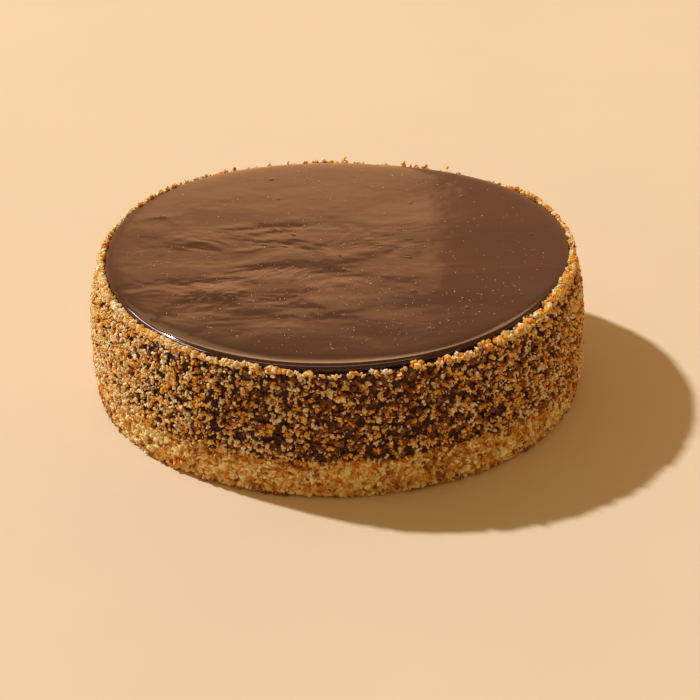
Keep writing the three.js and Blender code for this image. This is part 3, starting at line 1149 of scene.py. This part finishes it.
class DustGlaze(bpy.types.Operator):
    """Lets fine pale specks fall on the glaze, more of them in front"""

    bl_idname = "cake.dust_glaze"
    bl_label = "Specks on the glaze"

    DRAWN = 2  # how many places are drawn for each speck, as some of them are left out
    REACH = 0.95  # share of the radius inside the roll within which they lie
    BEHIND = 0.35  # share of the places that is used behind, where all are in front
    FRONT_SPREAD = 1.2
    SIZES = (0.45, 1.0)  # smallest and largest, before the power
    SMALLNESS = 1.5
    LIFT = 0.3  # share of its radius by which a speck's middle lies above the glaze
    ROLLS = 2  # how many radii of the roll the edge is left free

    def execute(self, context):
        sizes, look = context.scene.cake_sizes, context.scene.glaze_look
        rng = np.random.default_rng(context.scene.crumb_look.seed + 5)
        drawn = look.specks * self.DRAWN
        angle = rng.random(drawn) * FULL_TURN
        share = np.sqrt(rng.random(drawn)) * self.REACH
        wanted = blend(self.BEHIND, 1, toward(angle, FRONT, self.FRONT_SPREAD))
        stays = np.flatnonzero(rng.random(drawn) < wanted)[:look.specks]
        angle, share = angle[stays], share[stays]
        radius = share * (glaze_edge(sizes, angle) - self.ROLLS * sizes.glaze_rounding)
        size = look.speck_radius * rng.uniform(*self.SIZES, len(angle)) ** self.SMALLNESS
        centres = on_cake(radius, angle, sizes.top_height + size * self.LIFT)
        mesh = crumb_mesh(rng, "glaze_specks", centres, size)
        pale = crumb_material("glaze_specks", look.speck, look.dim_speck)
        add_piece("glaze_specks", mesh, pale, "crumb_coat")
        return {"FINISHED"}


# ---------------------------------------------------------------- stage


class SetStage(bpy.types.Operator):
    """Lays the floor, hangs the lights and puts the camera where the picture was taken"""

    bl_idname = "cake.set_stage"
    bl_label = "Floor, lights and camera"

    FLOOR_SIZE = 6.0
    FLOOR_SQUARES = 12  # along each side
    CAMERA_PLACE = (0.0009, -0.8986, 0.4918)
    CAMERA_YAW, CAMERA_PITCH, CAMERA_ROLL = (
        math.radians(0.256), math.radians(28.128), math.radians(-0.898),
    )
    CAMERA_LENS = 128.25  # millimetres, on a sensor 36 mm wide
    TO_KEY = Vector((-0.60, 0.335, 0.72))  # the way to the main light
    # Where the card and the panel behind the cake begin and end. A rise is measured from
    # the horizon, a turn from straight behind the cake towards the right. A depth is the
    # part of a direction that points away from the camera.
    CARD_DEPTHS = (0, 0.3)
    CARD_RISES = (math.radians(24), math.radians(34))
    PANEL_RISES = (math.radians(23.6), math.radians(25.8))
    PANEL_TOP_RISES = (math.radians(27.2), math.radians(27.7))
    PANEL_LEFT_TURNS = (math.radians(-11), math.radians(-2.8))
    PANEL_RIGHT_TURNS = (math.radians(2.47), math.radians(2.60))
    # Lights that only glossy surfaces show. Each panel has a direction, a width and a
    # height, and a radiance.
    PANEL_AWAY = 1.5
    RIM_STRIPS = 6  # each brighter than the one below it
    RIM_RISES = (math.radians(36), math.radians(54))
    RIM_WIDTH = 1.3
    RIM_RADIANCE = (8.5, 4.7, 2.3)  # of the highest strip
    PANELS = {
        "left_panel": ((-0.74, 0.15, 0.6), (1.5, 0.14), (18, 16, 16)),
        "top_panel": ((0, -0.5, 0.86), (1.8, 0.3), (3.6, 2.5, 2.7)),
        "far_left_panel": ((-0.20, 0.77, 0.60), (0.30, 0.18), (0.9, 0.52, 0.26)),
        "far_right_panel": ((0.22, 0.75, 0.625), (0.24, 0.10), (2.2, 1.2, 0.65)),
    }

    def add_floor(self, look):
        """A flat grid of squares that fills the picture."""
        half = self.FLOOR_SIZE / 2
        side = np.linspace(-half, half, self.FLOOR_SQUARES + 1)
        x, y = np.meshgrid(side, side)
        points = np.stack([x, y, np.zeros_like(x)], axis=-1).reshape(-1, 3)
        index = np.arange(len(points)).reshape(x.shape)
        quads = np.stack(
            [index[:-1, :-1], index[:-1, 1:], index[1:, 1:], index[1:, :-1]], axis=-1,
        ).reshape(-1, 4)
        mesh = mesh_of("floor", points, [quads], smooth=False)
        mesh.materials.append(floor_material(look))
        floor = bpy.data.objects.new("floor", mesh)
        bpy.context.scene.collection.objects.link(floor)

    def add_light(self, name, kind, place, shine, **settings):
        """A light at a place that shines along a direction, and that no camera sees."""
        light = bpy.data.lights.new(name, kind)
        for key, value in settings.items():
            setattr(light, key, value)
        lamp = bpy.data.objects.new(name, light)
        lamp.location = place
        lamp.rotation_euler = (-Vector(shine)).to_track_quat("Z", "Y").to_euler()
        lamp.visible_camera = False
        bpy.context.scene.collection.objects.link(lamp)
        return lamp

    def add_glossy_panel(self, name, way, size, radiance):
        """A rectangular light that faces the cake and that only glossy surfaces show.

        Its power is pi times the radiance times its area.
        """
        place = Vector(way).normalized() * self.PANEL_AWAY
        width, tall = size
        panel = self.add_light(
            name, "AREA", place, -place, shape="RECTANGLE", size=width, size_y=tall,
            energy=math.pi * width * tall, color=radiance,
        )
        panel.visible_diffuse = False

    def add_rim_strips(self):
        """Strips of light over one another behind the cake, for the glaze's rolled edge.

        Their radiance grows with the square of their number.
        """
        low, high = self.RIM_RISES
        step = (high - low) / self.RIM_STRIPS
        for number in range(self.RIM_STRIPS):
            rise = low + (number + 0.5) * step
            share = ((number + 1) / self.RIM_STRIPS) ** 2
            self.add_glossy_panel(
                f"rim_strip_{number}", (0, math.cos(rise), math.sin(rise)),
                (self.RIM_WIDTH, self.PANEL_AWAY * step),
                tuple(share * part for part in self.RIM_RADIANCE),
            )

    def add_world(self, look):
        """Light from all round, with a card behind the cake and a panel in front of the card.

        A direction's rise is the arcsine of its Z. Its turn is the angle of its X and Y.
        The panel is half as bright in its upper part as at its lower end.
        """
        world = bpy.data.worlds.new("surroundings")
        world.use_nodes = True
        tree = world.node_tree
        way = node(tree, "ShaderNodeTexCoord").outputs["Generated"]
        parts = node(tree, "ShaderNodeSeparateXYZ", {0: way})
        x, y, z = (parts.outputs[axis] for axis in "XYZ")
        rise = calculated(tree, "ARCSINE", z)
        turn = calculated(tree, "ARCTAN2", x, y)
        card = self.product(
            tree,
            smooth_step(tree, rise, *reversed(self.CARD_RISES)),
            smooth_step(tree, y, *self.CARD_DEPTHS),
        )
        both = calculated(
            tree, "ADD",
            smooth_step(tree, rise, *reversed(self.PANEL_RISES)),
            smooth_step(tree, rise, *reversed(self.PANEL_TOP_RISES)),
        )
        panel = self.product(
            tree, both, 0.5,
            smooth_step(tree, turn, *self.PANEL_LEFT_TURNS),
            smooth_step(tree, turn, *reversed(self.PANEL_RIGHT_TURNS)),
            look.panel_strength,
        )
        sky, card_light, panel_light, black = map(
            with_alpha, (look.sky, look.card, look.panel, (0, 0, 0)),
        )
        light = mixed(tree, card, sky, card_light, blend_type="ADD")
        tinted = mixed(tree, panel, black, panel_light, clamp_factor=False)
        light = mixed(tree, 1.0, light, tinted, blend_type="ADD")
        fill(tree, tree.nodes["Background"], {"Color": light})
        bpy.context.scene.world = world

    def product(self, tree, first, *others):
        """The values multiplied with each other."""
        for other in others:
            first = calculated(tree, "MULTIPLY", first, other)
        return first

    def add_camera(self):
        """The camera, turned to the right by its yaw and down by its pitch."""
        data = bpy.data.cameras.new("camera")
        data.sensor_width = 36
        data.lens = self.CAMERA_LENS
        camera = bpy.data.objects.new("camera", data)
        yaw = Matrix.Rotation(-self.CAMERA_YAW, 4, "Z")
        pitch = Matrix.Rotation(math.pi / 2 - self.CAMERA_PITCH, 4, "X")
        roll = Matrix.Rotation(self.CAMERA_ROLL, 4, "Z")
        camera.matrix_world = Matrix.Translation(self.CAMERA_PLACE) @ yaw @ pitch @ roll
        bpy.context.scene.collection.objects.link(camera)
        bpy.context.scene.camera = camera

    def execute(self, context):
        look = context.scene.studio_look
        self.add_floor(look)
        self.add_camera()
        self.add_light(
            "key", "POINT", self.TO_KEY.normalized() * look.key_away, -self.TO_KEY,
            energy=look.key * 4 * math.pi * look.key_away**2, shadow_soft_size=look.key_size,
        )
        self.add_rim_strips()
        for name, (way, size, radiance) in self.PANELS.items():
            self.add_glossy_panel(name, way, size, radiance)
        self.add_world(look)
        context.scene.view_settings.view_transform = "Standard"
        return {"FINISHED"}


# ---------------------------------------------------------------- add-on


class CakePanel(bpy.types.Panel):
    """Lists the steps that build the cake"""

    bl_idname = "VIEW3D_PT_cake"
    bl_label = "Tres leches cake"
    bl_space_type = "VIEW_3D"
    bl_region_type = "UI"
    bl_category = "Cake"

    def draw(self, context):
        for group in GROUPS:
            look = getattr(context.scene, group)
            for key in look.__annotations__:
                self.layout.prop(look, key)
        for step in STEPS:
            self.layout.operator(step.bl_idname)


GROUPS = {
    "cake_sizes": CakeSizes,
    "glaze_look": GlazeLook,
    "crumb_look": CrumbLook,
    "sponge_look": SpongeLook,
    "studio_look": StudioLook,
}
STEPS = (
    SetStage, BuildSpongeBase, BuildChocolateLayer, PourGlaze,
    PressOnCrumbs, RoughenSponge, DustGlaze,
)


def register():
    """Registers the classes and hangs their settings on the scene."""
    for made in (*GROUPS.values(), *STEPS, CakePanel):
        bpy.utils.register_class(made)
    for name, group in GROUPS.items():
        setattr(bpy.types.Scene, name, PointerProperty(type=group))


def unregister():
    """Takes back what register did."""
    for name in GROUPS:
        delattr(bpy.types.Scene, name)
    for made in reversed((*GROUPS.values(), *STEPS, CakePanel)):
        bpy.utils.unregister_class(made)


def main():
    """Builds the scene."""
    register()
    for step in STEPS:
        family, action = step.bl_idname.split(".")
        getattr(getattr(bpy.ops, family), action)()


if __name__ == "__main__":
    main()
